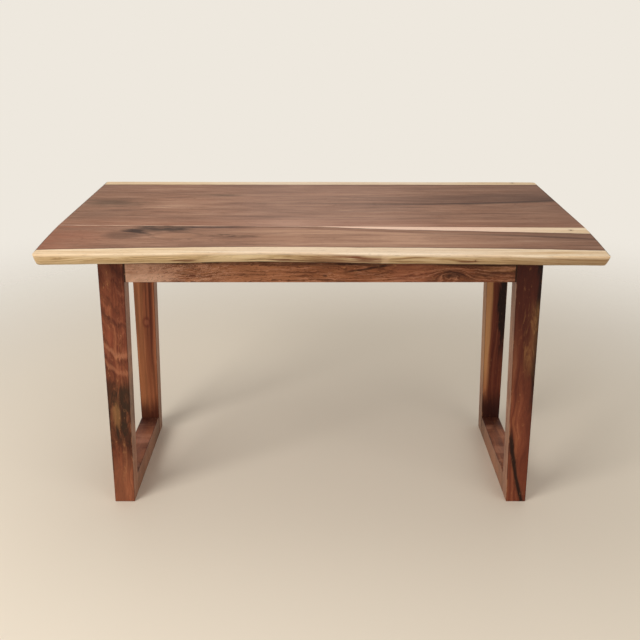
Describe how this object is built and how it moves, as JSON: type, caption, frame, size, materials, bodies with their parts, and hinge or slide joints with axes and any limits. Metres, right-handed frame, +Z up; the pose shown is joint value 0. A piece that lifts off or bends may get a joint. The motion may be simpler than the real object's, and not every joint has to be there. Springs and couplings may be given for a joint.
{
  "type": "counter-height table",
  "caption": "Counter-height wooden table with a live-edge top, hoop-shaped leg frames with floor rails, and aprons bolted between them.",
  "frame": {"origin": "on the floor under the middle of the top", "axes": "+X along the length to the right, +Y from the front edge to the back, +Z up"},
  "size_m": [1.626, 0.96, 0.914],
  "materials": {
    "top_wood": "clear satin lacquer over grey-brown heartwood with cream sapwood edges",
    "base_wood": "clear satin lacquer over red-brown figured wood",
    "dowel_wood": "unfinished turned hardwood",
    "fastener_steel": "zinc-plated steel",
    "channel_paint": "matt black powder coat",
    "insert_brass": "plain machined"
  },
  "bodies": {
    "root": {"apron_clips": "fastener_steel", "apron_dowels": "dowel_wood", "board_dowels": "dowel_wood", "board_inserts": "insert_brass", "centre_bearer": "base_wood", "channel_bolts": "fastener_steel", "cleat_screws": "fastener_steel", "clip_screws": "fastener_steel", "corner_bolts": "fastener_steel", "corner_washers": "fastener_steel", "front_apron": "base_wood", "front_board": "top_wood", "front_left_cleat": "base_wood", "front_left_leg": "base_wood", "front_right_cleat": "base_wood", "front_right_leg": "base_wood", "left_channel": "channel_paint", "left_floor_rail": "base_wood", "left_top_rail": "base_wood", "leg_inserts": "insert_brass", "rear_apron": "base_wood", "rear_board": "top_wood", "rear_left_cleat": "base_wood", "rear_left_leg": "base_wood", "rear_right_cleat": "base_wood", "rear_right_leg": "base_wood", "right_channel": "channel_paint", "right_floor_rail": "base_wood", "right_top_rail": "base_wood", "top_screw_washers": "fastener_steel", "top_screws": "fastener_steel"}
  },
  "joints": []
}
